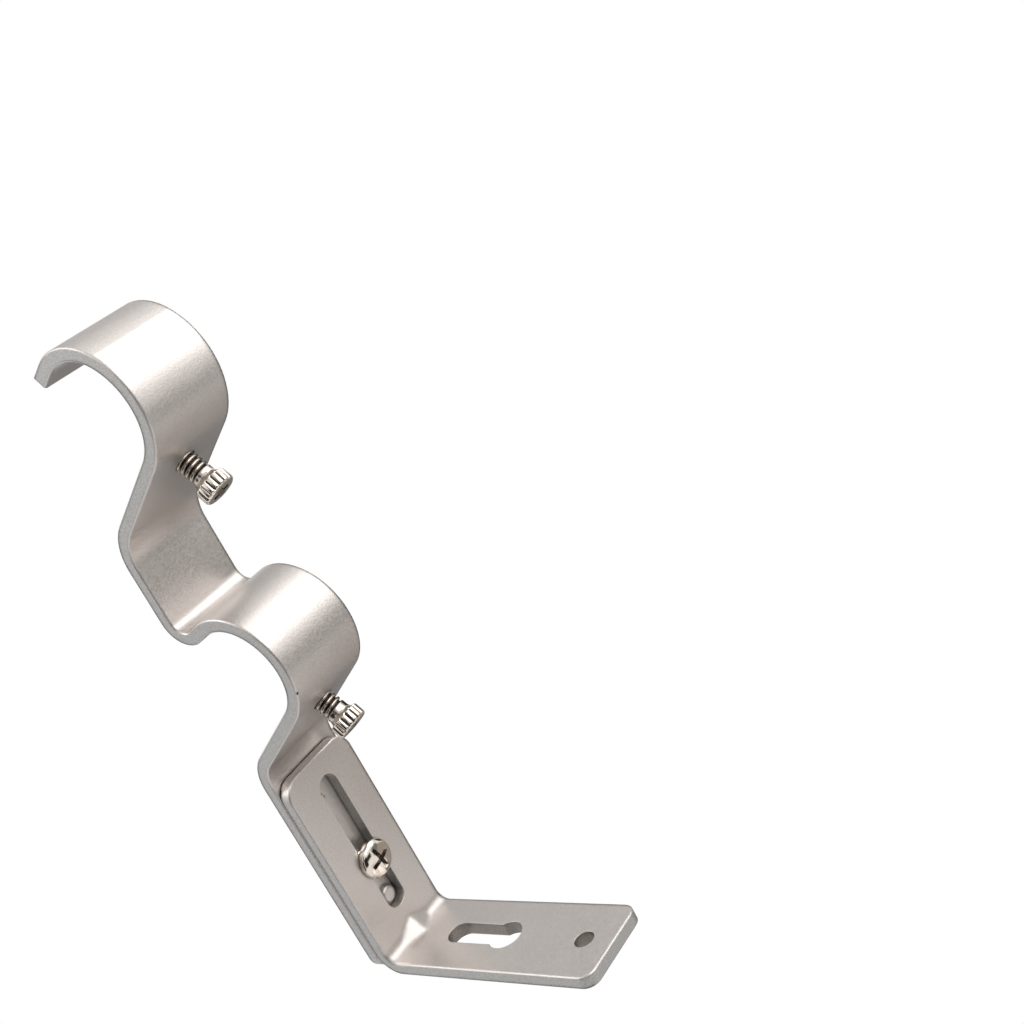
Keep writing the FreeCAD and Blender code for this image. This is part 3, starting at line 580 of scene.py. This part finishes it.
# %% Thumb screws
def thumb_painted_shade_and_grime(co, middle):
    """How dark a point of a thumb screw is, from 0 to 1, from grime and painted shade."""
    radius = math.hypot(co.x, co.y)
    in_recess = math.hypot(middle.x, middle.y) < 2.5 and 1.0 < middle.z < 2.85
    if middle.z < THUMB_TIP + 0.05:
        return 0.1
    # The thread is brown with grime and painted shade, darkest in its valleys
    if middle.z < THUMB_RUN_OUT + 0.15:
        down = (THUMB_CREST - 0.04 - radius) / (THUMB_DEPTH - 0.2)
        return 0.44 + 0.56 * min(1.0, max(0.0, down))
    # Painted shade in the cross recess
    if in_recess:
        return 0.9
    # Painted shade in the knurls' grooves
    if 0.2 < co.z < 2.6 and radius > 3.0:
        return min(1.0, (KNOB_RADIUS - radius) / 0.3)
    # Painted shade: the neck is darker, as in the knob's shade
    return 0.35 if middle.z < 0 else 0.0


def thumb_screw(name, head_centre, slope, cross_angle):
    bm = bmesh.new()
    neck = thread(bm, THUMB_CREST, THUMB_DEPTH, THUMB_PITCH, THUMB_TIP, THUMB_RUN_OUT)
    neck = grow_round(bm, neck, THUMB_NECK)
    first = bmesh.ops.create_circle(bm, segments=KNURLS * 8, radius=3.25)["verts"]
    knob = [edge for edge in bm.edges if edge.is_wire and edge.verts[0] in first]
    bmesh.ops.bridge_loops(bm, edges=neck + knob)
    for height, radius, groove in KNOB:
        def knurled(angle):
            beat = (math.degrees(angle) * KNURLS / 360) % 1.0
            dip = max(0.0, 1 - KNURL_FLANK * min(beat, 1 - beat))
            return radius - KNURL_DEPTH * groove * dip

        knob = grow(bm, knob, height, knurled)
    bmesh.ops.edgeloop_fill(bm, edges=knob)
    tool = punch(name + "_punch", width=1.4, length=3.6, depth=1.3, top=KNOB_END,
                 angle=cross_angle)
    place = (Matrix.Translation(millimetres(*head_centre))
             @ Matrix.Rotation(math.radians(180 + slope), 4, "X"))
    return finish_screw(name, bm, tool, thumb_painted_shade_and_grime, place)


rear = thumb_screw("rear_thumb_screw_threaded", (0, -58.503, 30.394), 57.2, 20)
front = thumb_screw("front_thumb_screw_threaded", (0, -111.967, 29.077), 58.0, 35)
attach(rear, "rear_thumb_screw")
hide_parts("rear_thumb_screw")
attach(front, "front_thumb_screw")
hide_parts("front_thumb_screw")

# %% [markdown]
# ## Clamp screw
# An M4 pan head: a low rim, a rounded shoulder and a dome, pressed cold, so its edges are soft.
# Its shank passes through the arm's slot and is threaded into the rod holder. It is drawn head
# up, with the bearing face a hair above zero, and turned over when it is placed.

# %% Clamp screw
CLAMP_CREST, CLAMP_DEPTH, CLAMP_PITCH = 2.0, 0.38, 0.7
CLAMP_TIP, CLAMP_RUN_OUT = -5.6, -0.35
# Each ring's height and radius, from the shank round the rim and over the dome
CLAMP_HEAD = ((-0.1, 2.02), (0.02, 2.1), (0.02, 3.85), (0.08, 4.03), (0.25, 4.1), (1.0, 4.1),
              (1.25, 4.05), (1.5, 3.88), (1.75, 3.58), (2.0, 3.1), (2.2, 2.55), (2.38, 1.85),
              (2.5, 1.1), (2.55, 0.5))


def clamp_painted_shade_and_grime(co, middle):
    """How dark a point of the clamp screw is, from 0 to 1, from grime and painted shade."""
    radius = math.hypot(co.x, co.y)
    # Grime and painted shade in the thread's valleys
    if co.z < -0.3:
        return min(1.0, max(0.0, (CLAMP_CREST - 0.1 - radius) / (CLAMP_DEPTH - 0.1)))
    inside = math.hypot(middle.x, middle.y)
    dome = 2.55 - 0.1 * inside * inside
    # Painted shade in the cross recess
    return 0.6 if inside < 2.9 and 0.6 < middle.z < dome - 0.12 else 0.0


def clamp_screw():
    bm = bmesh.new()
    shank = thread(bm, CLAMP_CREST, CLAMP_DEPTH, CLAMP_PITCH, CLAMP_TIP, CLAMP_RUN_OUT)
    shank = grow_round(bm, shank, CLAMP_HEAD)
    bmesh.ops.edgeloop_fill(bm, edges=shank)
    tool = punch("clamp_punch", width=0.95, length=6.0, depth=1.4, top=2.5, angle=12)
    place = Matrix.Translation(millimetres(0, -22.7, 46.4)) @ Matrix.Rotation(math.pi, 4, "X")
    return finish_screw("clamp_screw_threaded", bm, tool, clamp_painted_shade_and_grime, place)


clamp = clamp_screw()
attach(clamp, "clamp_screw")
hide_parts("clamp_screw")
